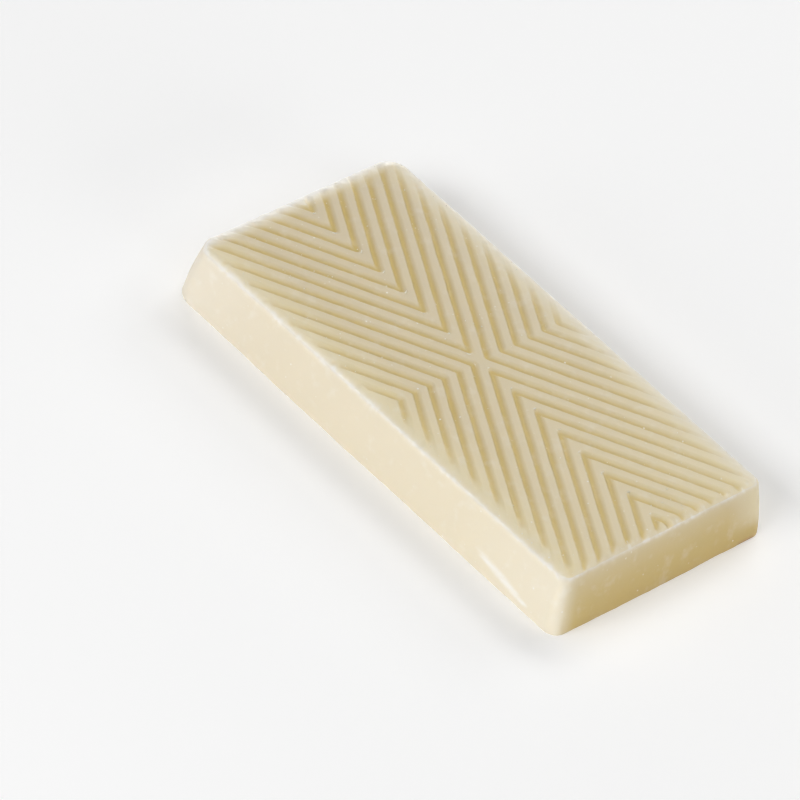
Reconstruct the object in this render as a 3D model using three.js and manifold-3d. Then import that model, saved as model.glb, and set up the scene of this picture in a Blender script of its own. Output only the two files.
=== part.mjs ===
// White chocolate bar: one moulded slab with drafted sides and a chevron relief on top.
// Millimetres, +Z up. The slab lies on its large flat face, the origin is the centre of that
// face, +X runs along the length and +Y across the width.
import * as THREE from 'three';
import { mergeVertices } from 'three/addons/utils/BufferGeometryUtils.js';
import Module from 'manifold-3d';

const wasm = await Module();
wasm.setup();

// Driving dimensions.
const LENGTH = 71.3;
const WIDTH = 35.7;
const HEIGHT = 8.5;
const DRAFT_SIDE = 1.35;
const DRAFT_END = 1.7;
const BELLY = 0.22;
const CORNER_RADIUS_FAR = 3.7;
const CORNER_RADIUS_NEAR = 1.9;
const CORNER_LOSS_FAR = 0.9;
const CORNER_LOSS_NEAR = 0.4;
const CORNER_STEPS = 8;
const BASE_BEVEL = 0.2;
const RIM_BEVEL = 0.22;

// The flat top falls away to the rim in a soft shoulder: wide along the sides, narrow at the ends.
const SHOULDER_DROP = 0.58;
const SHOULDER_SIDE = 2.1;
const SHOULDER_END = 0.9;

// Grooves between the ridges: nested chevrons in four mirrored quadrants.
const PITCH_X = 4.2;
const PITCH_Y = PITCH_X * Math.tan(THREE.MathUtils.degToRad(30));
const END_CHEVRONS = 8;
const SIDE_CHEVRONS = 6;
const GROOVE_DEPTH = 0.45;
const FLOOR_WIDTH = 0.3;
const WALL_FOOT_RISE = 0.08;
const WALL_FOOT_WIDTH = 0.46;
const WALL_HEAD_DROP = 0.1;
const WALL_HEAD_WIDTH = 0.82;
const MOUTH_WIDTH = 1.08;
const CUT_ABOVE = 0.5;

const CHOCOLATE = new THREE.MeshStandardMaterial({
  name: 'white_chocolate',
  color: new THREE.Color(0.87, 0.8, 0.64),
  roughness: 0.45,
  metalness: 0.0,
});

/** Points of a quarter circle, from the angle `start` round by 90 degrees. */
function cornerArc(centreX, centreY, radius, start) {
  const points = [];
  for (let step = 0; step <= CORNER_STEPS; step += 1) {
    const angle = start + (step / CORNER_STEPS) * (Math.PI / 2);
    points.push(new THREE.Vector2(
      centreX + radius * Math.cos(angle),
      centreY + radius * Math.sin(angle),
    ));
  }
  return points;
}

/**
 * Plan outline of the slab, drawn in at the ends and along the sides. Its corners get tighter
 * from the base, where `climb` is 0, to the rim, where it is 1.
 */
function slabOutline(endInset, sideInset, climb) {
  const x = LENGTH / 2 - endInset;
  const y = WIDTH / 2 - sideInset;
  const near = CORNER_RADIUS_NEAR - CORNER_LOSS_NEAR * climb;
  const far = CORNER_RADIUS_FAR - CORNER_LOSS_FAR * climb;
  return [
    ...cornerArc(x - near, y - near, near, 0),
    ...cornerArc(-x + far, y - far, far, Math.PI / 2),
    ...cornerArc(-x + far, -y + far, far, Math.PI),
    ...cornerArc(x - near, -y + near, near, Math.PI * 1.5),
  ];
}

/** Closed solid through a stack of plan outlines, each a list of points at its own height. */
function loft(levels) {
  const count = levels[0].outline.length;
  const positions = [];
  for (const level of levels) {
    for (const point of level.outline) {
      positions.push(point.x, point.y, level.z);
    }
  }
  const indices = [];
  for (let row = 0; row < levels.length - 1; row += 1) {
    for (let i = 0; i < count; i += 1) {
      const a = row * count + i;
      const b = row * count + ((i + 1) % count);
      indices.push(a, b, b + count, a, b + count, a + count);
    }
  }
  const top = (levels.length - 1) * count;
  for (const [a, b, c] of THREE.ShapeUtils.triangulateShape(levels[0].outline, [])) {
    indices.push(c, b, a);
  }
  for (const [a, b, c] of THREE.ShapeUtils.triangulateShape(levels.at(-1).outline, [])) {
    indices.push(top + a, top + b, top + c);
  }
  const geometry = new THREE.BufferGeometry();
  geometry.setAttribute('position', new THREE.Float32BufferAttribute(positions, 3));
  geometry.setIndex(indices);
  return geometry;
}

/** The manifold solid of a closed geometry. */
function toManifold(geometry) {
  const bare = mergeVertices(geometry);
  return new wasm.Manifold(new wasm.Mesh({
    numProp: 3,
    vertProperties: new Float32Array(bare.attributes.position.array),
    triVerts: new Uint32Array(bare.index.array),
  }));
}

/** The geometry of a manifold solid. */
function toGeometry(solid) {
  const mesh = solid.getMesh();
  const geometry = new THREE.BufferGeometry();
  geometry.setAttribute('position', new THREE.BufferAttribute(mesh.vertProperties, 3));
  geometry.setIndex(new THREE.BufferAttribute(mesh.triVerts, 1));
  geometry.computeVertexNormals();
  return geometry;
}

/** The slab without its relief, from the base up to the flat of the top. */
function slab() {
  const rimZ = HEIGHT - SHOULDER_DROP;
  const level = (z, endInset, sideInset, climb) => ({
    z,
    outline: slabOutline(endInset, sideInset, climb),
  });
  return toManifold(loft([
    level(0, BASE_BEVEL, BASE_BEVEL, 0),
    level(BASE_BEVEL, 0, 0, 0),
    level(rimZ / 2, DRAFT_END / 2 - BELLY, DRAFT_SIDE / 2 - BELLY, 0.5),
    level(rimZ - RIM_BEVEL, DRAFT_END, DRAFT_SIDE, 1),
    level(rimZ, DRAFT_END + RIM_BEVEL, DRAFT_SIDE + RIM_BEVEL, 1),
    level(
      HEIGHT - SHOULDER_DROP * 0.3,
      DRAFT_END + SHOULDER_END * 0.6,
      DRAFT_SIDE + SHOULDER_SIDE * 0.5,
      1,
    ),
    level(HEIGHT, DRAFT_END + SHOULDER_END, DRAFT_SIDE + SHOULDER_SIDE, 1),
  ]));
}

/** Chevron band round the ray x >= 0, its corner at `apex`, its arms going out at the slope. */
function chevronOutline(apex, run, rise, width) {
  const shift = (width / 2) * (Math.hypot(run, rise) / rise);
  const armY = LENGTH;
  const armX = apex + (armY * run) / rise;
  return [
    new THREE.Vector2(armX - shift, armY),
    new THREE.Vector2(apex - shift, 0),
    new THREE.Vector2(armX - shift, -armY),
    new THREE.Vector2(armX + shift, -armY),
    new THREE.Vector2(apex + shift, 0),
    new THREE.Vector2(armX + shift, armY),
  ];
}

/** Cutter of one chevron groove, turned about the Z axis by whole quarter turns. */
function grooveCutter(index, pitch, otherPitch, quarterTurns) {
  const apex = (index + 0.5) * pitch;
  const widen = ((MOUTH_WIDTH - WALL_HEAD_WIDTH) / WALL_HEAD_DROP) * CUT_ABOVE;
  const floorZ = HEIGHT - GROOVE_DEPTH;
  const band = (z, width) => ({ z, outline: chevronOutline(apex, pitch, otherPitch, width) });
  const geometry = loft([
    band(floorZ, FLOOR_WIDTH),
    band(floorZ + WALL_FOOT_RISE, WALL_FOOT_WIDTH),
    band(HEIGHT - WALL_HEAD_DROP, WALL_HEAD_WIDTH),
    band(HEIGHT + CUT_ABOVE, MOUTH_WIDTH + widen),
  ]);
  geometry.rotateZ(quarterTurns * (Math.PI / 2));
  return toManifold(geometry);
}

/** The whole bar: the slab less every groove of the four chevron fans. */
function chocolateBar() {
  let solid = slab();
  for (let index = 0; index < END_CHEVRONS; index += 1) {
    solid = solid.subtract(grooveCutter(index, PITCH_X, PITCH_Y, 0));
    solid = solid.subtract(grooveCutter(index, PITCH_X, PITCH_Y, 2));
  }
  for (let index = 0; index < SIDE_CHEVRONS; index += 1) {
    solid = solid.subtract(grooveCutter(index, PITCH_Y, PITCH_X, 1));
    solid = solid.subtract(grooveCutter(index, PITCH_Y, PITCH_X, 3));
  }
  const mesh = new THREE.Mesh(toGeometry(solid), CHOCOLATE);
  mesh.name = 'bar';
  return mesh;
}

const group = new THREE.Group();
group.name = 'chocolate_bar';
group.add(chocolateBar());

export default group;
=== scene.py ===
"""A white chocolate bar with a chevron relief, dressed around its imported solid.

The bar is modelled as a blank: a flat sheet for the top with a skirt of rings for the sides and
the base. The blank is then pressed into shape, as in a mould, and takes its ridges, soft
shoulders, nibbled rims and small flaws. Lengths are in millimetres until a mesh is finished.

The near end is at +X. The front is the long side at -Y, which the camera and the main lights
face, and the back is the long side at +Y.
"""

import logging
import math
from dataclasses import dataclass, field
from enum import Enum

import bpy
import numpy as np
from mathutils import Matrix, Vector
from mathutils.bvhtree import BVHTree

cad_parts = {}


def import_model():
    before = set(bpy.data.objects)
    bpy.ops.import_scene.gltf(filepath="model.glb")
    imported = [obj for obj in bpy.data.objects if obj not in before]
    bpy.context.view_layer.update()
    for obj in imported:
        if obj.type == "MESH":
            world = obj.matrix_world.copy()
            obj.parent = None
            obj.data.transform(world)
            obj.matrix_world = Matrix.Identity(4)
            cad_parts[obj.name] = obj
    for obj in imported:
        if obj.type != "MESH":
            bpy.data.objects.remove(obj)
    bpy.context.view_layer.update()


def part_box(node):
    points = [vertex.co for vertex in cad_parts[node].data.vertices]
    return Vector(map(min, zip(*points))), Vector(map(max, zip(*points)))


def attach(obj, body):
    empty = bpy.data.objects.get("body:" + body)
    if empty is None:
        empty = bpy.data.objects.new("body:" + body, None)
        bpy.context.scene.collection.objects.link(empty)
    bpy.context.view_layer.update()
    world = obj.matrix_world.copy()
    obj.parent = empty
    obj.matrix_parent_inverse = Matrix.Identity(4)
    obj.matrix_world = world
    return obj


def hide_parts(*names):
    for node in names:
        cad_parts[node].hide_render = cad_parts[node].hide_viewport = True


LOG = logging.getLogger("chocolate_bar")
MM = 0.001
BODY = "root"
NODE = "bar"
Array = np.ndarray
Three = tuple[float, float, float]


def smooth_step(value: Array, start: float | Array = 0.0, over: float | Array = 1.0) -> Array:
    """Rise softly from 0 to 1.

    Args:
        value: Any numbers.
        start: The value up to which the result is 0.
        over: How much further on the result reaches 1.

    Returns:
        The eased numbers.
    """
    t = np.clip((value - start) / over, 0.0, 1.0)
    return t * t * (3.0 - 2.0 * t)


def fade(distance: Array, reach: float | Array, power: float = 1.2) -> Array:
    """Fall from 1 at an edge to 0 at a reach from it."""
    return np.clip(1.0 - distance / reach, 0.0, 1.0) ** power


def decay(distance: Array, reach: float) -> Array:
    """Fall from 1 at an edge toward 0, with a tail that has no end."""
    return np.exp(-distance / reach)


def bell(offset: Array, width: float | Array) -> Array:
    """Fall from 1 at no offset toward 0 on both sides."""
    return np.exp(-((offset / width) ** 2))


def soft_min(first: Array, second: Array, blend: float) -> Array:
    """Take the lower of two heights, with the crease between them rounded.

    Args:
        first: Heights.
        second: Heights.
        blend: How far apart they may be and still be blended.

    Returns:
        The blended heights.
    """
    share = np.clip(0.5 + 0.5 * (second - first) / blend, 0.0, 1.0)
    return second * (1.0 - share) + first * share - blend * share * (1.0 - share)


@dataclass(frozen=True)
class Ripple:
    """Smooth random waves in space, the same on every run."""

    height: float
    wavelength: float
    seed: int
    waves: int = 26
    shortest: float = 0.7
    longest: float = 1.5

    def at(self, points: Array) -> Array:
        """Give the height of the waves at points.

        Args:
            points: An array of points, one row each, in millimetres.

        Returns:
            One number for each point, with a mean of 0 and the ripple's height as their spread.
        """
        draw = np.random.default_rng(self.seed)
        total = np.zeros(len(points))
        for _ in range(self.waves):
            direction = draw.normal(size=points.shape[1])
            direction /= np.linalg.norm(direction)
            length = self.wavelength * draw.uniform(self.shortest, self.longest)
            phase = draw.uniform(0.0, math.tau)
            total += np.cos(points @ direction * (math.tau / length) + phase)
        return self.height * (total * math.sqrt(2.0 / self.waves))

    def patches(self, points: Array, middle: float) -> Array:
        """Draw soft patches: the waves, lifted by a middle and eased from 0 to 1."""
        return smooth_step(middle + self.at(points))


def add_up(ripples: tuple[Ripple, ...], points: Array) -> Array:
    """Add up the heights of several ripples at points."""
    return sum(ripple.at(points) for ripple in ripples)


def shade_smooth(piece: bpy.types.Object) -> None:
    """Select a piece alone and shade it smooth."""
    bpy.ops.object.select_all(action="DESELECT")
    piece.select_set(True)
    bpy.context.view_layer.objects.active = piece
    bpy.ops.object.shade_smooth()


def read_points(piece: bpy.types.Object) -> Array:
    """Read a piece's points.

    Args:
        piece: A mesh object.

    Returns:
        An array of points, one row each.
    """
    flat = np.empty(len(piece.data.vertices) * 3)
    piece.data.vertices.foreach_get("co", flat)
    return flat.reshape(-1, 3)


def write_points(piece: bpy.types.Object, points: Array) -> None:
    """Write a piece's points back, one row each."""
    piece.data.vertices.foreach_set("co", points.astype(np.float32).ravel())
    piece.data.update()


class Layer(Enum):
    """The numbers painted on the slab's points for its material to read."""

    PAINTED_SHADE = "rich"
    END_SHADE = "deep"
    CONTACT_SHADOW = "stain"
    GLOW = "glow"
    WEAR_AND_HIGHLIGHT = "wear"
    PALE = "pale"


def paint(piece: bpy.types.Object, layer: Layer, values: Array) -> None:
    """Store one number for each point of a piece.

    Args:
        piece: A mesh object.
        layer: What the numbers stand for.
        values: One number for each point.
    """
    attribute = piece.data.attributes.new(layer.value, "FLOAT", "POINT")
    attribute.data.foreach_set("value", values.astype(np.float32))


def toward(azimuth: float, elevation: float) -> Vector:
    """Give a direction out from the bar, by its angles in degrees.

    Args:
        azimuth: 0 toward -Y and 90 toward +X.
        elevation: 0 along the floor and 90 straight up.

    Returns:
        The direction, one unit long.
    """
    turn = math.radians(azimuth)
    rise = math.radians(elevation)
    return Vector(
        (math.sin(turn) * math.cos(rise), -math.cos(turn) * math.cos(rise), math.sin(rise))
    )


class Way(Enum):
    """The two diagonals that a square of the sheet can be split along."""

    RISING = "FIXED"
    FALLING = "FIXED_ALTERNATE"


@dataclass(frozen=True)
class Relief:
    """Nested chevron grooves in four mirrored quadrants, their ridges meeting in an X.

    A groove's two walls differ: the skew, and the lean of the painted shade that darkens and
    yellows the groove, are added on one side and taken off on the other. A burr is a small raised
    lip just beyond a chevron's tip.
    """

    pitch_x: float = 4.2
    slope: float = math.radians(30.0)
    depth: float = 0.34
    floor_half: float = 0.1
    mouth_half: float = 0.58
    skew: float = 0.14
    skew_blend: float = 0.06
    skew_turn: float = 0.6
    brink_blend: float = 0.08
    foot_blend: float = 0.5
    wander: tuple[Ripple, ...] = (
        Ripple(0.015, 5.0, 11),
        Ripple(0.0105, 1.4, 12),
        Ripple(0.006, 0.7, 13),
    )
    gathering: float = 0.7
    gather_core: float = 0.3
    midline_reach: float = 0.4
    centre_x: float = 0.46
    centre_y: float = 0.04
    groove_shade_power: float = 1.15
    groove_shade_lean: float = 0.65
    groove_shade_tilt: float = 0.04
    groove_shade_loss: float = 0.13
    groove_shade_loss_over: float = 4.0
    burr_across: float = 0.26
    burr_along: float = 0.42
    burr_past: float = 0.12
    burr_thickness: float = 0.03
    burr_ranks: int = 16
    burr_seed: int = 41

    @property
    def pitch_y(self) -> float:
        """Spacing of the chevrons across the width."""
        return self.pitch_x * math.tan(self.slope)

    @property
    def pitch(self) -> float:
        """Spacing of the grooves square to their run."""
        return self.pitch_x * math.sin(self.slope)

    def centred(self, plan: Array) -> Array:
        """Turn places in plan into a row of x and a row of y from the X's centre."""
        return (plan - (self.centre_x, self.centre_y)).T

    def gather(self, plan: Array) -> Array:
        """Draw points of the top together at the grooves' brinks, so that these come out crisp.

        The points move square to the grooves, and along a midline where chevrons have their tips.

        Args:
            plan: The points' places along and across, one row each.

        Returns:
            How far each point moves, one row each.
        """
        x, y = self.centred(plan)
        along, across = x / self.pitch_x, y / self.pitch_y
        brinks = 4.0 * math.pi
        lane = np.abs(along) - np.abs(across)
        shift = self.gathering / brinks * np.sin(brinks * lane)
        lengthwise_tips = bell(across, self.midline_reach)
        crosswise_tips = bell(along, self.midline_reach)
        square = math.sin(self.slope) ** 2
        share = lengthwise_tips + (1.0 - lengthwise_tips) * square * (1.0 - crosswise_tips)
        move_x = share * shift * self.pitch_x * np.clip(along / self.gather_core, -1.0, 1.0)
        move_y = -(1.0 - share) * shift * self.pitch_y * np.sign(across)
        return np.column_stack([move_x, move_y])

    def tips(self, plan: Array) -> Array:
        """Find the brinks just beyond the chevrons' tips, where the mould leaves a small burr.

        Args:
            plan: Places along and across, one row each.

        Returns:
            0 away from the tips to 1 on the largest burr.
        """
        x, y = self.centred(plan)
        lane = np.abs(x) / self.pitch_x - np.abs(y) / self.pitch_y
        lengthwise = lane > 0.0
        off_midline = np.where(lengthwise, y / self.burr_across, x / self.burr_along)
        rank = np.floor(np.abs(lane)).astype(int)
        brink = (self.mouth_half + self.burr_past) / self.pitch_x
        off_brink = np.abs(lane) - rank - 0.5 + brink
        arm = lengthwise * 1 + np.where(lengthwise, x > 0.0, y > 0.0) * 2
        sizes = np.random.default_rng(self.burr_seed).uniform(0.0, 1.0, (4, self.burr_ranks))
        size = sizes[arm, np.minimum(rank, self.burr_ranks - 1)]
        return size * bell(off_midline, 1.0) * bell(off_brink, self.burr_thickness)

    def carve(self, plan: Array) -> tuple[Array, Array]:
        """Tell how deep the grooves are at points of the top. Their walls toward -Y are steeper.

        Args:
            plan: Places along and across, one row each.

        Returns:
            The depth, 0 on a ridge to 1 on a groove's floor, and the groove's painted shade, 0 to
            1.
        """
        x, y = self.centred(plan)
        along, across = np.abs(x), np.abs(y)
        lane = along / self.pitch_x - across / self.pitch_y
        near_lane = np.floor(lane) + 0.5
        from_line = np.abs(lane - near_lane) * self.pitch
        lead_x = along - np.maximum(near_lane, 0.0) * self.pitch_x
        lead_y = across - np.maximum(-near_lane, 0.0) * self.pitch_y
        past_tip = lead_x * math.cos(self.slope) + lead_y * math.sin(self.slope) < 0.0
        from_line = np.where(past_tip, np.hypot(lead_x, lead_y), from_line)
        from_line += add_up(self.wander, plan)
        side = (near_lane - lane) * np.clip(y / self.skew_turn, -1.0, 1.0)
        lean = np.clip(side / self.skew_blend, -1.0, 1.0)
        mouth_half = self.mouth_half + self.skew * lean
        wall = (mouth_half - from_line) / (mouth_half - self.floor_half)
        footed = soft_min(wall, np.ones_like(wall), self.foot_blend)
        depth = -soft_min(-footed, np.zeros_like(wall), self.brink_blend)
        # Painted shade in the groove: more toward its floor, more on one wall than the other, and
        # less in the two quadrants where x and y share a sign.
        groove_shade = np.clip(depth, 0.0, 1.0) ** (self.groove_shade_power + self.groove_shade_lean * lean)
        groove_shade *= 1.0 - self.groove_shade_tilt + self.groove_shade_tilt * lean
        lost = self.groove_shade_loss * np.clip(x * y / self.groove_shade_loss_over, 0.0, 1.0)
        return depth, groove_shade * (1.0 - lost)


@dataclass
class Blank:
    """A flat sheet with a skirt of rings, on a lattice that the grooves run along."""

    step_x: float
    step_y: float
    cells_x: int
    cells_y: int
    rings: int

    def build(self, name: str) -> bpy.types.Object:
        """Model the sheet and draw its border down ring by ring.

        Args:
            name: The piece's name.

        Returns:
            The blank, its sheet at height 0 and its ring number k at height -k.
        """
        bpy.ops.object.select_all(action="DESELECT")
        bpy.ops.mesh.primitive_grid_add(
            x_subdivisions=2 * self.cells_x, y_subdivisions=2 * self.cells_y, size=2.0
        )
        piece = bpy.context.active_object
        piece.name = name
        bpy.ops.transform.resize(
            value=(self.cells_x * self.step_x, self.cells_y * self.step_y, 1.0)
        )
        bpy.ops.object.transform_apply(location=False, rotation=False, scale=True)
        self.split(piece, Way.RISING, 1.0)
        self.split(piece, Way.FALLING, -1.0)
        bpy.ops.object.mode_set(mode="EDIT")
        bpy.ops.mesh.select_mode(type="EDGE")
        bpy.ops.mesh.select_all(action="SELECT")
        bpy.ops.mesh.region_to_loop()
        for _ in range(self.rings):
            bpy.ops.mesh.extrude_edges_move(TRANSFORM_OT_translate={"value": (0.0, 0.0, -1.0)})
        bpy.ops.mesh.edge_face_add()
        bpy.ops.mesh.select_all(action="SELECT")
        bpy.ops.mesh.normals_make_consistent(inside=False)
        bpy.ops.object.mode_set(mode="OBJECT")
        return piece

    @staticmethod
    def split(piece: bpy.types.Object, way: Way, sign: float) -> None:
        """Split the squares of two opposite quadrants along one diagonal.

        Args:
            piece: The sheet.
            way: The diagonal.
            sign: 1 for the quadrants where x and y have one sign, -1 for the other two.
        """
        chosen = [
            len(face.vertices) == 4 and face.center.x * face.center.y * sign > 0.0
            for face in piece.data.polygons
        ]
        bpy.ops.object.mode_set(mode="EDIT")
        bpy.ops.mesh.select_mode(type="FACE")
        bpy.ops.mesh.select_all(action="DESELECT")
        bpy.ops.object.mode_set(mode="OBJECT")
        piece.data.polygons.foreach_set("select", chosen)
        bpy.ops.object.mode_set(mode="EDIT")
        bpy.ops.mesh.quads_convert_to_tris(quad_method=way.value, ngon_method="BEAUTY")
        bpy.ops.object.mode_set(mode="OBJECT")


@dataclass
class Spots:
    """The blank's points: their places on it, -1 to 1, and how far they lie in from its rims."""

    share_x: Array
    share_y: Array
    ring: Array
    rim_x: float
    rim_y: float

    def __post_init__(self) -> None:
        """Measure the distances. The sheet counts as ring 0, and inward is 0 off the sheet."""
        self.on_top = self.ring == 0
        self.at_back = self.share_y > 0.0
        self.from_near = (1.0 - self.share_x) * self.rim_x
        self.from_far = (1.0 + self.share_x) * self.rim_x
        self.from_back = (1.0 - self.share_y) * self.rim_y
        self.from_front = (1.0 + self.share_y) * self.rim_y
        self.from_end = np.minimum(self.from_near, self.from_far)
        self.from_side = np.minimum(self.from_back, self.from_front)
        self.inward = np.minimum(self.from_end, self.from_side) * self.on_top


@dataclass
class ChocolateBar:
    """The bar: a drafted slab, tighter at its near corners, with soft shoulders and a relief.

    A measure in three parts holds for the back, and for the far and near halves of the front.
    Grooves melt away toward the sides and run out at the ends. All that is named nibble, fray,
    swell, ragged or uneven is unevenness, in millimetres.
    """

    length: float
    width: float
    height: float
    draft_side: float = 1.35
    draft_end: float = 1.7
    belly: float = 0.14
    radius_far: float = 3.7
    radius_near: float = 1.9
    radius_least: float = 0.2
    loss_far: float = 0.9
    loss_near: float = 0.5
    shoulder_drop: float = 0.58
    shoulder_side: Three = (3.0, 1.3, 3.0)
    shoulder_far: float = 2.6
    shoulder_near: float = 1.1
    fall_power_side: float = 2.4
    fall_power_end: float = 2.0
    rim_round: float = 0.5
    rim_round_near: float = 0.8
    rim_round_blend: float = 2.0
    rim_lean_top: float = math.radians(30.0)
    rim_lean_foot: float = math.radians(81.0)
    base_round: float = 0.07
    relief: Relief = field(default_factory=Relief)
    cells_per_pitch: int = 16
    rim_rings: int = 6
    side_rings: int = 14
    base_rings: int = 4
    floor_insets: tuple[float, ...] = (0.3, 0.9, 2.2, 4.5, 8.0)
    halves_blend: float = 6.0
    melt_from: Three = (0.3, 0.2, 0.7)
    melt_over: Three = (2.2, 0.9, 1.5)
    melt_deeper: float = 0.5
    run_out_near: float = 0.5
    run_out_far: float = 0.6
    run_out_far_from: float = 0.1
    run_out_ripple: Ripple = Ripple(0.15, 1.5, 27)
    gather_from: float = 0.2
    gather_over: float = 1.0
    nibble: tuple[Ripple, ...] = (Ripple(0.022, 1.9, 25), Ripple(0.014, 0.7, 26))
    nibble_in: float = 0.5
    nibble_down: float = 0.6
    swell: tuple[Ripple, ...] = (Ripple(0.045, 16.0, 21), Ripple(0.012, 3.5, 22))
    swell_over: float = 1.5
    fray: tuple[Ripple, ...] = (Ripple(0.012, 2.2, 23), Ripple(0.008, 0.8, 24))
    fray_up_to: float = 0.9
    ragged: Ripple = Ripple(0.035, 0.75, 28)
    ragged_in: float = 0.35
    ragged_half: float = 0.45
    uneven: tuple[Ripple, ...] = (Ripple(0.02, 1.6, 29), Ripple(0.01, 0.6, 30))
    burr: float = 0.06

    @property
    def rim_x(self) -> float:
        """Half the length at the rim."""
        return self.length / 2 - self.draft_end

    @property
    def rim_y(self) -> float:
        """Half the width at the rim."""
        return self.width / 2 - self.draft_side

    @property
    def rim_height(self) -> float:
        """Height of the rim, where the shoulder meets the side."""
        return self.height - self.shoulder_drop

    def section(self, rim_round: float) -> Array:
        """Work out the rings from the rim down the side and in under the base.

        Args:
            rim_round: The radius of the round below the rim.

        Returns:
            A row for the sheet's border and for each ring, the topmost first: how far it stands
            out of the rim at the ends and at the sides, its height, and its climb, which is 1 at
            the rim and 0 at the base.
        """
        rings = [(0.0, 0.0, self.rim_height, 1.0)]
        for step in range(1, self.rim_rings + 1):
            t = step / self.rim_rings
            lean = self.rim_lean_top + (self.rim_lean_foot - self.rim_lean_top) * t
            out = rim_round * (math.sin(lean) - math.sin(self.rim_lean_top))
            drop = rim_round * (math.cos(self.rim_lean_top) - math.cos(lean))
            rings.append((out, out, self.rim_height - drop, 1.0))
        head = np.array(rings[-1])
        foot = np.array([self.draft_end, self.draft_side, self.base_round, 0.0])
        for step in range(1, self.side_rings + 1):
            t = step / self.side_rings
            swell = self.belly * 4.0 * t * (1.0 - t)
            rings.append(head + (foot - head) * t + (swell, swell, 0.0, 0.0))
        for step in range(1, self.base_rings + 1):
            turn = math.pi / 2 * step / self.base_rings
            inset = self.base_round * (1.0 - math.cos(turn))
            height = self.base_round * (1.0 - math.sin(turn))
            rings.append((self.draft_end - inset, self.draft_side - inset, height, 0.0))
        for inset in self.floor_insets:
            rings.append((self.draft_end - inset, self.draft_side - inset, 0.0, 0.0))
        return np.array(rings)

    def build(self) -> bpy.types.Object:
        """Model the blank, press it and paint on what its material reads.

        Returns:
            The finished bar, in metres.
        """
        step_x = self.relief.pitch_x / self.cells_per_pitch
        step_y = self.relief.pitch_y / self.cells_per_pitch
        cells_x = round(self.rim_x / step_x)
        cells_y = round(self.rim_y / step_y)
        rings = len(self.section(self.rim_round)) - 1
        blank = Blank(step_x, step_y, cells_x, cells_y, rings)
        piece = blank.build("chocolate_slab")
        points = read_points(piece)
        spots = Spots(
            share_x=points[:, 0] / (cells_x * step_x),
            share_y=points[:, 1] / (cells_y * step_y),
            ring=np.rint(-points[:, 2]).astype(int),
            rim_x=self.rim_x,
            rim_y=self.rim_y,
        )
        pressed, groove_shade = self.press(spots)
        write_points(piece, pressed * MM)
        finish = Finish(spots, pressed, self.rim_height, self.relief)
        for layer, values in finish.layers(groove_shade).items():
            paint(piece, layer, values)
        shade_smooth(piece)
        return piece

    def plan(self, spots: Spots, out_end: Array, out_side: Array, climb: Array) -> Array:
        """Place points of the blank in plan, with its square corners drawn into arcs.

        Args:
            spots: The blank's points.
            out_end: How far the outline stands out of the rim at the ends.
            out_side: The same along the sides.
            climb: The climb of the points' rings, which sets the radii of the corners.

        Returns:
            The places along and across, one row each.
        """
        near = spots.share_x > 0.0
        full = np.where(near, self.radius_near, self.radius_far)
        loss = np.where(near, self.loss_near, self.loss_far)
        radius = full - loss * climb + np.minimum(out_side, 0.0)
        radius = np.maximum(radius, self.radius_least)
        blank_radius = full - loss
        straight, corner = [], []
        for share, rim in ((spots.share_x, self.rim_x), (spots.share_y, self.rim_y)):
            reach = np.abs(share) * rim
            inner = rim - blank_radius
            straight.append(np.minimum(reach / inner, 1.0))
            corner.append(np.clip((reach - inner) / blank_radius, 0.0, 1.0))
        x = straight[0] * (self.rim_x + out_end - radius)
        y = straight[1] * (self.rim_y + out_side - radius)
        x += radius * corner[0] * np.sqrt(1.0 - corner[1] ** 2 / 2.0)
        y += radius * corner[1] * np.sqrt(1.0 - corner[0] ** 2 / 2.0)
        return np.column_stack([np.copysign(x, spots.share_x), np.copysign(y, spots.share_y)])

    def press(self, spots: Spots) -> tuple[Array, Array]:
        """Press the blank into the mould.

        Args:
            spots: The blank's points.

        Returns:
            The pressed points, and the painted shade that each one has for lying in a groove.
        """
        crisp = self.section(self.rim_round)[spots.ring]
        soft = self.section(self.rim_round_near)[spots.ring]
        near = 1.0 - smooth_step(spots.from_near, over=self.rim_round_blend)
        out_end, out_side, height, climb = (crisp + (soft - crisp) * near[:, None]).T
        level = np.where(spots.on_top, self.height, height)
        rough = np.column_stack([spots.share_x * self.rim_x, spots.share_y * self.rim_y, level])
        below = np.clip(self.rim_height - height, 0.0, None) * ~spots.on_top
        rim = bell(spots.inward, self.nibble_in) * bell(below, self.nibble_down)
        foot = fade(height, self.fray_up_to, 2.0) * ~spots.on_top
        out = add_up(self.swell, rough) * np.minimum(below / self.swell_over, 1.0)
        out += add_up(self.fray, rough) * foot + add_up(self.nibble, rough) * rim
        plan = self.plan(spots, out_end + out, out_side + out, climb)
        settled = smooth_step(spots.inward, self.gather_from, self.gather_over) * spots.on_top
        plan += self.relief.gather(plan) * settled[:, None]
        top, groove_shade = self.top_height(spots, plan)
        z = np.where(spots.on_top, top, height)
        return np.column_stack([plan, z]), groove_shade * spots.on_top

    def by_side(self, spots: Spots, plan: Array, measure: Three) -> Array:
        """Spread a measure in three parts over the top.

        Args:
            spots: The blank's points.
            plan: Their places along and across, one row each.
            measure: Its values for the back and for the front's far and near halves.

        Returns:
            Its value at each point.
        """
        back, far_half, near_half = measure
        nearer = smooth_step(plan[:, 0], -self.halves_blend, 2.0 * self.halves_blend)
        return np.where(spots.at_back, back, far_half + (near_half - far_half) * nearer)

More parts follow.
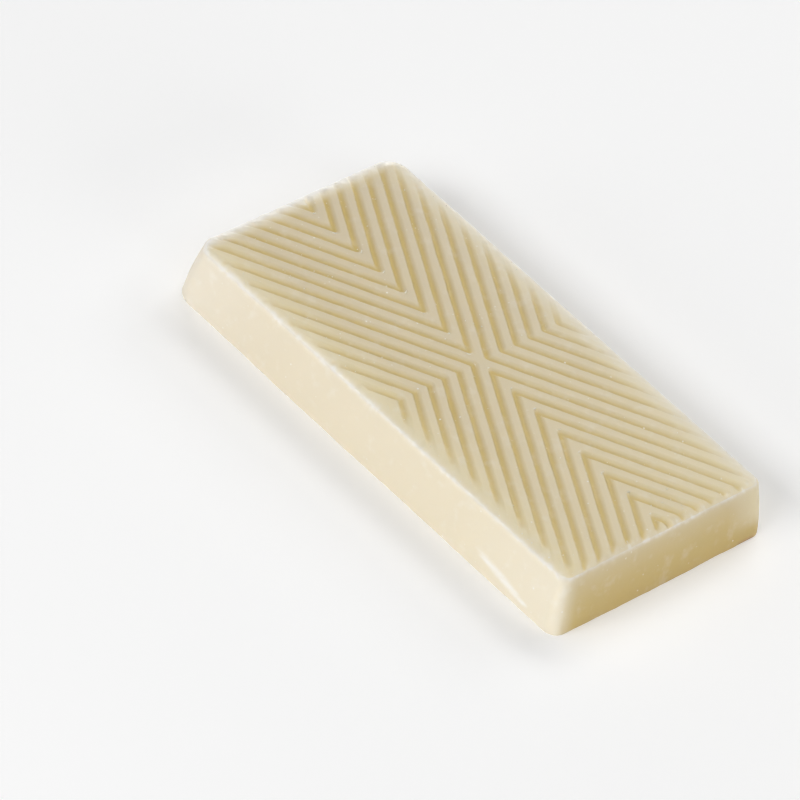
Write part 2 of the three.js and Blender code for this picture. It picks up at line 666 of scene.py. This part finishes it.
    def top_height(self, spots: Spots, plan: Array) -> tuple[Array, Array]:
        """Give the height of the top: its shoulders, cut by the grooves.

        Args:
            spots: The blank's points.
            plan: Their places along and across, one row each.

        Returns:
            The heights, and the painted shade that each point has for lying in a groove, 0 to 1.
        """
        shoulder_end = np.where(spots.share_x > 0.0, self.shoulder_near, self.shoulder_far)
        shoulder_side = self.by_side(spots, plan, self.shoulder_side)
        fall_end = fade(spots.from_end, shoulder_end, self.fall_power_end)
        fall_side = fade(spots.from_side, shoulder_side, self.fall_power_side)
        fall = 1.0 - (1.0 - fall_end) * (1.0 - fall_side)
        carve, groove_shade = self.relief.carve(plan)
        frayed = self.run_out_ripple.at(plan)
        ends = smooth_step(spots.from_near + frayed, over=self.run_out_near)
        ends *= smooth_step(spots.from_far + frayed, self.run_out_far_from, self.run_out_far)
        melt_from = self.by_side(spots, plan, self.melt_from)
        melt_over = self.by_side(spots, plan, self.melt_over)
        inside = spots.from_side + frayed
        # The painted shade fades out with the grooves toward the ends and the sides.
        groove_shade *= ends * smooth_step(inside, melt_from, melt_over)
        groove = carve * ends * smooth_step(inside, melt_from, melt_over + self.melt_deeper)
        lip = bell(spots.from_near - self.ragged_in, self.ragged_half)
        lip *= smooth_step(spots.from_near, over=0.2)
        melted = smooth_step(fall, start=0.02, over=0.3) * smooth_step(1.0 - fall, over=0.2)
        height = self.height - self.shoulder_drop * fall - self.relief.depth * groove
        height += self.burr * self.relief.tips(plan) + lip * self.ragged.at(plan)
        return height + melted * add_up(self.uneven, plan), groove_shade


@dataclass
class Finish:
    """What the slab's material reads at each point: its painted shade, shadow and light, its
    paleness and its scuffs.

    The near end stands in shade, so its painted shade deepens toward its foot and stays lighter
    along its two upright edges.
    """

    spots: Spots
    points: Array
    rim_height: float
    relief: Relief
    end_shade_strength: float = 0.75
    end_blend: float = 0.6
    end_corner: float = 6.5
    end_from: float = 3.0
    rim_reach: float = 0.36
    rim_wear_and_highlight: float = 0.8
    rim_patches: float = 0.4
    near_wear: float = 0.6
    shoulder_wear: float = 0.5
    foot_wear: float = 0.4
    tip_wear_and_glint: float = 0.7
    smear_start: float = 20.5
    smear_end: float = 31.0
    smear_high: float = 2.55
    smear_low: float = 0.8
    smear_bend: float = 1.4
    smear_thin: float = 0.18
    smear_swell: float = 0.45
    contact_shadow_height: float = 0.3
    glow_front: float = 0.8
    glow_drift: float = 0.35
    glow_corner: float = 0.45
    pale_front: float = 0.85
    pale_back: float = 1.6
    pale_across: float = 0.2
    pale_far: float = 3.1
    pale_near: float = 0.5
    pale_walls: float = 0.8
    pale_walls_near: float = 0.4
    pale_walls_far: float = 0.65
    pale_walls_loss: float = 0.85
    pale_end: float = 0.3

    def __post_init__(self) -> None:
        """Take the places apart, and measure how far they lie below the rim."""
        self.x, self.y, self.z = self.points.T
        self.downward = np.clip(self.rim_height - self.z, 0.0, None)

    def layers(self, groove_shade: Array) -> dict[Layer, Array]:
        """Work out everything that is painted on.

        Args:
            groove_shade: The painted shade that each point has for lying in a groove.

        Returns:
            One number for each point, by what it stands for.
        """
        return {
            # Painted shade: in the grooves, and down the near end, which stands in shade.
            Layer.PAINTED_SHADE: np.maximum(groove_shade, self.end_shade_strength * self.on_end(power=0.5, reach=1.0)),
            Layer.END_SHADE: self.on_end(power=1.1, reach=5.5),
            Layer.CONTACT_SHADOW: self.stain(),
            Layer.GLOW: self.glow(),
            Layer.WEAR_AND_HIGHLIGHT: self.scuffs_and_highlights(),
            Layer.PALE: self.paleness(),
        }

    def on_end(self, power: float, reach: float) -> Array:
        """Draw a fade down the near end, which stands in shade, as the mask of its painted shade.

        Args:
            power: How slowly it sets in below the rim. At 0 it is there at once.
            reach: How far in from the front it sets in.

        Returns:
            0 off the end to 1 at its foot, for each point.
        """
        down = np.clip(1.0 - self.z / self.rim_height, 0.0, 1.0)
        end = (1.0 - smooth_step(self.spots.from_near, over=self.end_blend)) * ~self.spots.on_top
        end *= smooth_step(self.spots.from_front, over=reach)
        upper = 1.0 - smooth_step(down, start=0.45, over=0.4)
        corner = smooth_step(self.spots.from_back, over=self.end_corner) ** upper
        return end * corner * down**power

    def stain(self) -> Array:
        """Draw a painted shadow: a thin dark line at the foot of the near end, by its back corner.

        Returns:
            0 off the line to 1 on it, for each point.
        """
        end = (1.0 - smooth_step(self.spots.from_near, start=0.4, over=0.8)) * ~self.spots.on_top
        along = smooth_step(self.spots.share_y, start=0.62, over=0.3)
        broken = Ripple(0.6, 1.6, 36).patches(self.points, 0.55)
        return end * along * broken * bell(self.z, self.contact_shadow_height) * (self.z > 0.0)

    def glow(self) -> Array:
        """Tell where light shines through: along the edges, and more so toward the near end.

        Returns:
            0 for none to 1 for the most, for each point.
        """
        edges = [
            self.glow_front * fade(self.spots.from_front, 7.0),
            fade(self.spots.from_back, 5.0),
            fade(self.spots.from_far, 3.2),
        ]
        edge = np.maximum.reduce(edges) * self.spots.on_top
        drift = self.glow_drift * smooth_step(self.x, start=-50.0, over=95.0)
        corner = self.glow_corner * smooth_step(self.x, start=5.0, over=40.0)
        corner *= smooth_step(self.y, start=-4.0, over=18.0)
        dark = (1.0 - edge) * (1.0 - drift) * (1.0 - corner)
        return (1.0 - dark) * (1.0 - self.on_end(power=0.0, reach=self.end_from))

    def scuffs_and_highlights(self) -> Array:
        """Tell how scuffed the bar is: along its edges, past its chevrons' tips and in a smear,
        with painted highlights along the rim line and painted glints past the tips.

        Returns:
            0 for clean to 1 for scuffed, for each point.
        """
        on_top = self.spots.on_top
        from_near = self.spots.from_near
        patch = Ripple(0.5, 6.0, 31).patches(self.points, 0.5)
        crumbly = Ripple(0.55, 1.0, 32).patches(self.points, 0.4)
        wisp = Ripple(0.6, 1.7, 33).patches(self.points, 0.0) * (0.4 + 0.6 * crumbly)
        broken = Ripple(0.6, 2.6, 34).patches(self.points, 0.2) * on_top
        inward = np.minimum(self.spots.from_far, self.spots.from_side)
        # A whitish line along the rims: partly scuffs, partly a painted highlight on the edge.
        rim = decay(np.where(on_top, inward, self.downward), self.rim_reach)
        rim *= self.rim_wear_and_highlight + self.rim_patches * patch * crumbly
        near_end = np.where(on_top, bell(from_near, 0.8), decay(self.downward, 0.7))
        near_end *= self.near_wear * (1.0 - smooth_step(from_near, start=0.4, over=0.9)) * wisp
        shoulder = self.shoulder_wear * decay(inward, 1.1) * broken * crumbly
        foot = self.foot_wear * fade(self.z, 0.35, 1.0) * (self.z > 0.0)
        foot *= Ripple(0.6, 2.2, 35).patches(self.points, 0.1)
        wear = np.maximum.reduce([rim, near_end, shoulder, foot, self.smear()])
        # Past the chevrons' tips: whitish crumbs of the burr and painted glints.
        tips = self.relief.tips(self.points[:, :2]) * on_top
        return np.clip(wear + self.tip_wear_and_glint * tips, 0.0, 1.0)

    def smear(self) -> Array:
        """Draw the rubbed streak low on the front, near the near end.

        Returns:
            0 off the streak to 1 on it, for each point.
        """
        along = (self.x - self.smear_start) / (self.smear_end - self.smear_start)
        inside = (along > 0.0) & (along < 1.0) & (self.y < 0.0)
        along = np.clip(along, 0.0, 1.0)
        middle = self.smear_high + (self.smear_low - self.smear_high) * along**self.smear_bend
        breadth = self.smear_thin + self.smear_swell * np.sin(math.pi * along)
        return inside * bell(self.z - middle, breadth)

    def paleness(self) -> Array:
        """Tell how much paler the chocolate is than on its ridges: partly the whitening of its
        rubbed shoulders, partly painted light on the shoulders, the side walls and the top of the
        near end.

        Returns:
            0 for the ridges' colour and more for a paler one, up to about 3, for each point.
        """
        spots = self.spots
        # Painted light on the shoulders, along with their whitening: more on the back and at the
        # far end.
        front = self.pale_front * fade(spots.from_side, 2.2)
        back = self.pale_back * fade(spots.from_side, 3.4)
        back += self.pale_across * fade(spots.from_side, 16.0, 1.0)
        side = np.where(spots.at_back, back, front)
        far = self.pale_far * fade(spots.from_far, 2.3)
        near = self.pale_near * fade(spots.from_near, 0.9, 1.0)
        top = np.maximum.reduce([side, far, near])
        # Painted light on the side walls: lighter toward both ends and less on the back.
        walls = self.pale_walls + self.pale_walls_near * smooth_step(self.x, 12.0, 25.0)
        walls += self.pale_walls_far * smooth_step(-self.x, 15.0, 25.0)
        walls *= 1.0 - self.pale_walls_loss * smooth_step(spots.share_y, start=0.6, over=0.3)
        on_end = self.on_end(power=0.0, reach=self.end_from)
        # The near end, which stands in shade, gets only a painted lighter band below its rim.
        walls = walls * (1.0 - on_end) + self.pale_end * on_end * decay(self.downward, 0.6)
        return np.where(spots.on_top, top, walls)


@dataclass
class Crumbs:
    """Tiny flecks of chocolate that cling to the top and its rims."""

    bar: ChocolateBar
    count: int = 230
    smallest: float = 0.04
    largest: float = 0.12
    fineness: float = 2.5
    flattest: float = 0.55
    jitter: float = 0.12
    lift: float = 0.25
    margin: float = 0.3
    rim_share: float = 0.45
    rim_share_ends: float = 0.4
    rim_inset: float = 0.15
    rim_scatter: float = 0.5
    tip_turn: float = 0.7
    tip_arc: tuple[float, float] = (0.2, 1.0)
    tip_step: float = 0.16
    tip_out: tuple[float, float] = (0.02, 0.12)
    tip_grain: tuple[float, float] = (0.05, 0.12)
    seed: int = 51

    def __post_init__(self) -> None:
        """Start the random numbers."""
        self.draw = np.random.default_rng(self.seed)

    def build(self, slab: bpy.types.Object) -> bpy.types.Object:
        """Model one fleck and strew copies of it over the slab's top.

        Args:
            slab: The finished slab, in metres.

        Returns:
            The flecks, as one piece.
        """
        bpy.ops.object.select_all(action="DESELECT")
        bpy.ops.mesh.primitive_ico_sphere_add(subdivisions=1, radius=1.0)
        piece = bpy.context.active_object
        piece.name = "chocolate_crumbs"
        fleck = read_points(piece)
        faces = np.array([list(face.vertices) for face in piece.data.polygons])
        tree = BVHTree.FromObject(slab, bpy.context.evaluated_depsgraph_get())
        points, polygons = [], []
        for x, y, grain in [*self.strewn(), *self.at_tips()]:
            shape = fleck * self.draw.uniform(self.flattest, 1.0, 3) * grain
            shape += self.draw.normal(0.0, self.jitter * grain, fleck.shape)
            axis = Vector(self.draw.normal(size=3))
            turn = np.array(Matrix.Rotation(self.draw.uniform(0.0, math.tau), 3, axis))
            above = Vector((x, y, 2.0 * self.bar.height)) * MM
            spot = tree.ray_cast(above, Vector((0.0, 0.0, -1.0)))[0]
            if spot is None:
                continue
            polygons.append(faces + len(fleck) * len(points))
            points.append(shape @ turn + np.array(spot) / MM + (0.0, 0.0, self.lift * grain))
        mesh = bpy.data.meshes.new(piece.name)
        mesh.from_pydata(np.concatenate(points) * MM, [], np.concatenate(polygons).tolist())
        piece.data = mesh
        shade_smooth(piece)
        return piece

    def strewn(self) -> list[Three]:
        """Strew flecks over the top, many of them near its rims.

        Returns:
            Each fleck's place along and across, and its size.
        """
        flecks = []
        half_sizes = (self.bar.rim_x - self.margin, self.bar.rim_y - self.margin)
        for _ in range(self.count):
            x, y = self.draw.uniform(-1.0, 1.0, 2) * half_sizes
            if self.draw.uniform() < self.rim_share:
                x, y = self.to_rim(x, y)
            coarse = self.draw.uniform() ** self.fineness
            flecks.append((x, y, self.smallest + (self.largest - self.smallest) * coarse))
        return flecks

    def at_tips(self) -> list[Three]:
        """String flecks in short arcs around the tips of the lengthwise chevrons.

        Returns:
            Each fleck's place along and across, and its size.
        """
        relief = self.bar.relief
        flecks = []
        for sign in (-1.0, 1.0):
            for rank in range(int(self.bar.rim_x / relief.pitch_x)):
                tip = relief.centre_x + sign * (rank + 0.5) * relief.pitch_x
                middle = self.draw.uniform(-self.tip_turn, self.tip_turn)
                half = self.draw.uniform(*self.tip_arc) / 2
                for turn in np.arange(middle - half, middle + half, self.tip_step):
                    out = relief.mouth_half + self.draw.uniform(*self.tip_out)
                    x = tip - sign * out * math.cos(turn)
                    y = relief.centre_y + out * math.sin(turn)
                    flecks.append((x, y, self.draw.uniform(*self.tip_grain)))
        return flecks

    def to_rim(self, x: float, y: float) -> tuple[float, float]:
        """Move a place to near one of the rims.

        Args:
            x: The place along the length.
            y: The place across the width.

        Returns:
            The new place.
        """
        inset = self.rim_inset + self.draw.exponential(self.rim_scatter)
        if self.draw.uniform() < self.rim_share_ends:
            return math.copysign(self.bar.rim_x - inset, x), y
        return x, math.copysign(self.bar.rim_y - inset, y)


class Recipe:
    """A material's node sheet, with short ways to add and read its nodes."""

    def __init__(self, name: str) -> None:
        """Start an empty material.

        Args:
            name: The material's name.
        """
        self.material = bpy.data.materials.new(name)
        self.material.use_nodes = True
        self.tree = self.material.node_tree
        self.tree.nodes.clear()

    def add(self, kind: str, settings: dict | None = None, **sockets: object) -> bpy.types.Node:
        """Add a node.

        Args:
            kind: The node's type.
            settings: Its settings, which are set before its sockets.
            sockets: Values or links, by socket name with _ for a space, or by number as s0.

        Returns:
            The node.
        """
        node = self.tree.nodes.new(kind)
        for key, value in (settings or {}).items():
            setattr(node, key, value)
        for key, value in sockets.items():
            numbered = key[0] == "s" and key[1:].isdigit()
            socket = node.inputs[int(key[1:])] if numbered else node.inputs[key.replace("_", " ")]
            source = value.socket if isinstance(value, Value) else value
            if isinstance(source, bpy.types.NodeSocket):
                self.tree.links.new(source, socket)
            else:
                socket.default_value = source
        return node

    def finish(self, settings: dict | None = None, **sockets: object) -> bpy.types.Material:
        """Add the surface with its settings and sockets, and give the material."""
        shader = self.add("ShaderNodeBsdfPrincipled", settings, **sockets)
        self.add("ShaderNodeOutputMaterial", Surface=shader.outputs[0])
        return self.material

    def value(self, node: bpy.types.Node, output: str | int = 0) -> "Value":
        """Wrap one output of a node for arithmetic."""
        return Value(self, node.outputs[output])

    def painted(self, layer: Layer) -> "Value":
        """Read the numbers painted on the piece's points for a layer."""
        return self.value(self.add("ShaderNodeAttribute", {"attribute_name": layer.value}), "Fac")

    def coords(self) -> "Value":
        """Read the places of a piece's points, which stay with the piece."""
        return self.value(self.add("ShaderNodeTexCoord"), "Object")

    def noise(self, scale: float, detail: float) -> "Value":
        """Add noise with a scale, in waves to a metre."""
        node = self.add("ShaderNodeTexNoise", Vector=self.coords(), Scale=scale, Detail=detail)
        return self.value(node, "Fac")

    def mix(self, share: "Value", first: object, second: object) -> "Value":
        """Mix two colours. A share of 0 gives the first and a share of 1 the second."""
        node = self.add("ShaderNodeMix", {"data_type": "RGBA"}, s0=share, s6=first, s7=second)
        return self.value(node, 2)


@dataclass(frozen=True)
class Value:
    """A node output that takes part in plain arithmetic."""

    recipe: Recipe
    socket: bpy.types.NodeSocket

    def maths(self, operation: str, first: object, second: object) -> "Value":
        """Add a Math node for two numbers or wrapped outputs."""
        node = self.recipe.add("ShaderNodeMath", {"operation": operation}, s0=first, s1=second)
        return self.recipe.value(node)

    def __add__(self, other: object) -> "Value":
        """Add."""
        return self.maths("ADD", self, other)

    def __sub__(self, other: object) -> "Value":
        """Subtract."""
        return self.maths("SUBTRACT", self, other)

    def __rsub__(self, other: object) -> "Value":
        """Subtract, reflected."""
        return self.maths("SUBTRACT", other, self)

    def __mul__(self, other: object) -> "Value":
        """Multiply."""
        return self.maths("MULTIPLY", self, other)

    def ease(self, low: float, high: float) -> "Value":
        """Rise softly from 0 to 1 between two values.

        Args:
            low: The value that gives 0.
            high: The value that gives 1.

        Returns:
            The eased value.
        """
        settings = {"interpolation_type": "SMOOTHSTEP"}
        sockets = {"Value": self, "From_Min": low, "From_Max": high}
        node = self.recipe.add("ShaderNodeMapRange", settings, **sockets)
        return self.recipe.value(node)


@dataclass(frozen=True)
class WhiteChocolate:
    """Moulded white chocolate: creamy and a little waxy, paler where scuffed, with painted shade
    that yellows its grooves and near end and painted light along its edges and shoulders.

    A share is how far a colour is mixed in at most. Scales are in waves to a metre, and the lengths
    of the bleed and the bump are in metres.
    """

    name: str = "white_chocolate"
    cream: tuple = (0.7, 0.594, 0.403, 1.0)
    shade_yellow: tuple = (0.625, 0.45, 0.09, 1.0)
    shade_amber: tuple = (0.565, 0.412, 0.146, 1.0)
    honey: tuple = (0.86, 0.75, 0.47, 1.0)
    bloom_and_light: tuple = (0.9, 0.875, 0.825, 1.0)
    shadow_brown: tuple = (0.4, 0.2, 0.1, 1.0)
    cloud_scale: float = 260.0
    veil_scale: float = 520.0
    speck_scale: float = 900.0
    mottle_scale: float = 1400.0
    grain_scale: float = 5200.0
    shade_share: float = 0.97
    shade_loss: float = 0.5
    cloud_share: float = 0.1
    pale_share: float = 0.33
    veil_share: float = 0.16
    scuff_and_highlight_share: float = 0.8
    speck_share: float = 0.9
    speck_size: float = 0.16
    contact_shadow_share: float = 0.75
    roughness: float = 0.42
    roughness_mottle: float = 0.16
    roughness_scuff: float = 0.15
    ior: float = 1.46
    through: float = 1.0
    bleed: float = 0.0011
    bleed_reach: tuple = (1.0, 0.85, 0.6)
    bump_strength: float = 0.35
    bump_depth: float = 0.00006
    bump_grain: float = 0.35
    bump_mottle: float = 0.9

    def make(self) -> bpy.types.Material:
        """Mix the material.

        Returns:
            The material.
        """
        recipe = Recipe(self.name)
        rich, deep, stain, glow, wear, pale = (recipe.painted(layer) for layer in Layer)
        cloud = recipe.noise(self.cloud_scale, detail=3.0) - 0.5
        mottle = recipe.noise(self.mottle_scale, detail=3.0)
        grain = recipe.noise(self.grain_scale, detail=2.0)
        veil = recipe.noise(self.veil_scale, detail=4.0).ease(0.52, 0.78)
        # Painted shade: yellower and darker in the grooves and down the near end, less where light
        # is painted shining through.
        shade_yellow = rich * (self.shade_share - glow * self.shade_loss)
        # Painted light: honey where light shines through along the edges and toward the near end.
        tone = recipe.mix(glow, self.cream, self.honey)
        tone = recipe.mix(shade_yellow + cloud * self.cloud_share, tone, self.shade_yellow)
        # Painted shade that deepens toward the foot of the near end.
        tone = recipe.mix(deep, tone, self.shade_amber)
        # Paler shoulders and walls: partly whitening from rubbing, partly painted light, with a
        # random veil.
        tone = recipe.mix(pale * self.pale_share + veil * self.veil_share, tone, self.bloom_and_light)
        # Whitish scuffs, with a painted highlight along the rim line and painted glints past the
        # chevrons' tips.
        scuff_and_highlight = (wear * (mottle * 0.8 + 0.6)).ease(0.1, 1.0) * self.scuff_and_highlight_share
        tone = recipe.mix(scuff_and_highlight, tone, self.bloom_and_light)
        coords = recipe.coords()
        cells = recipe.add("ShaderNodeTexVoronoi", Vector=coords, Scale=self.speck_scale)
        speck = (self.speck_size - recipe.value(cells, "Distance")).ease(0.0, 0.1)
        speck = speck * mottle.ease(0.5, 0.7)
        tone = recipe.mix(speck * self.speck_share, tone, self.bloom_and_light)
        # Painted shadow: a thin dark line at the foot of the near end.
        tone = recipe.mix(stain * self.contact_shadow_share, tone, self.shadow_brown)
        rough = (mottle - 0.5) * self.roughness_mottle + scuff_and_highlight * self.roughness_scuff
        bump = recipe.add(
            "ShaderNodeBump",
            Strength=self.bump_strength,
            Distance=self.bump_depth,
            Height=grain * self.bump_grain + mottle * self.bump_mottle,
        )
        return recipe.finish(
            {"subsurface_method": "BURLEY"},
            Base_Color=tone,
            Roughness=rough + self.roughness,
            IOR=self.ior,
            Subsurface_Weight=self.through,
            Subsurface_Radius=self.bleed_reach,
            Subsurface_Scale=self.bleed,
            Normal=bump.outputs[0],
        )


@dataclass(frozen=True)
class Floor:
    """The plain pale surface that the bar lies on."""

    size: float = 6.0
    colour: tuple = (0.97, 0.97, 0.97, 1.0)
    roughness: float = 0.9
    glow: float = 0.15

    def build(self) -> bpy.types.Object:
        """Lay the floor.

        Returns:
            The floor.
        """
        bpy.ops.object.select_all(action="DESELECT")
        bpy.ops.mesh.primitive_plane_add(size=self.size)
        floor = bpy.context.active_object
        floor.name = "floor"
        material = Recipe("pale_floor").finish(
            Base_Color=self.colour,
            Roughness=self.roughness,
            Emission_Color=self.colour,
            Emission_Strength=self.glow,
        )
        floor.data.materials.append(material)
        return floor


def stand(data: bpy.types.ID) -> bpy.types.Object:
    """Put a light or a camera into the scene."""
    thing = bpy.data.objects.new(data.name, data)
    bpy.context.scene.collection.objects.link(thing)
    return thing


@dataclass(frozen=True)
class Softbox:
    """A flat soft white light that faces the bar. Its sizes are in metres."""

    name: str
    azimuth: float
    elevation: float
    watts: float
    height: float = 0.25
    width: float = 0.6
    distance: float = 0.9

    def hang(self) -> None:
        """Hang the light in its direction from the bar."""
        direction = toward(self.azimuth, self.elevation)
        light = bpy.data.lights.new(self.name, "AREA")
        light.energy = self.watts
        light.shape = "RECTANGLE"
        light.size = self.width
        light.size_y = self.height
        lamp = stand(light)
        lamp.location = direction * self.distance
        lamp.rotation_euler = direction.to_track_quat("Z", "Y").to_euler()


@dataclass(frozen=True)
class Viewpoint:
    """A camera with a long lens, turned about its axis so that the bar leans to the right.

    It aims at a point, and its clip distances are in metres.
    """

    aim: tuple = (-2.4, -9.7, 4.25)
    azimuth: float = 38.38
    elevation: float = 41.77
    roll: float = 14.47
    distance: float = 864.7
    lens: float = 319.4
    clip_start: float = 0.01
    clip_end: float = 20.0

    def place(self) -> None:
        """Place the camera and make it the scene's."""
        back = toward(self.azimuth, self.elevation)
        data = bpy.data.cameras.new("camera")
        data.lens = self.lens
        data.clip_start = self.clip_start
        data.clip_end = self.clip_end
        camera = stand(data)
        upright = back.to_track_quat("Z", "Y").to_matrix()
        rolled = upright @ Matrix.Rotation(math.radians(self.roll), 3, "Z")
        spot = (Vector(self.aim) + back * self.distance) * MM
        camera.matrix_world = Matrix.Translation(spot) @ rolled.to_4x4()
        bpy.context.scene.camera = camera


def light_studio() -> None:
    """Hang the lights, in surroundings that give no light of their own."""
    for box in (
        Softbox("key", -14.0, 12.0, 1.15),
        Softbox("key_high", 0.0, 36.0, 3.95),
        Softbox("key_left", -30.0, 12.0, 0.8),
        Softbox("left_low", -120.0, 3.0, 0.9, height=0.08),
        Softbox("rear_low", -135.0, 3.0, 1.6, height=0.08),
        Softbox("rear_left", -150.0, 48.0, 2.4),
        Softbox("rear", 180.0, 28.0, 1.45),
        Softbox("rear_right", 150.0, 40.0, 0.7),
        Softbox("right", 60.0, 40.0, 1.0),
        Softbox("right_low", 90.0, 12.0, 2.0),
    ):
        box.hang()
    world = bpy.data.worlds.new("surroundings")
    world.use_nodes = True
    world.node_tree.nodes["Background"].inputs["Strength"].default_value = 0.0
    bpy.context.scene.world = world
    bpy.context.scene.view_settings.view_transform = "Standard"


def main() -> None:
    """Build the bar, the floor, the lights and the camera."""
    logging.basicConfig(level=logging.INFO, format="%(name)s: %(message)s")
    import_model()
    low, high = (Vector(corner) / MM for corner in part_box(NODE))
    size = high - low
    Viewpoint().place()
    light_studio()
    Floor().build()
    bar = ChocolateBar(length=size.x, width=size.y, height=size.z)
    slab = bar.build()
    slab.data.materials.append(WhiteChocolate().make())
    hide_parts(NODE)
    crumbs = Crumbs(bar).build(slab)
    crumbs.data.materials.append(
        WhiteChocolate("crumb_chocolate", cream=(0.87, 0.83, 0.72, 1.0), through=0.0).make()
    )
    for piece in (slab, crumbs):
        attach(piece, BODY)
        LOG.info("%s has %d faces", piece.name, len(piece.data.polygons))


if __name__ == "__main__":
    main()
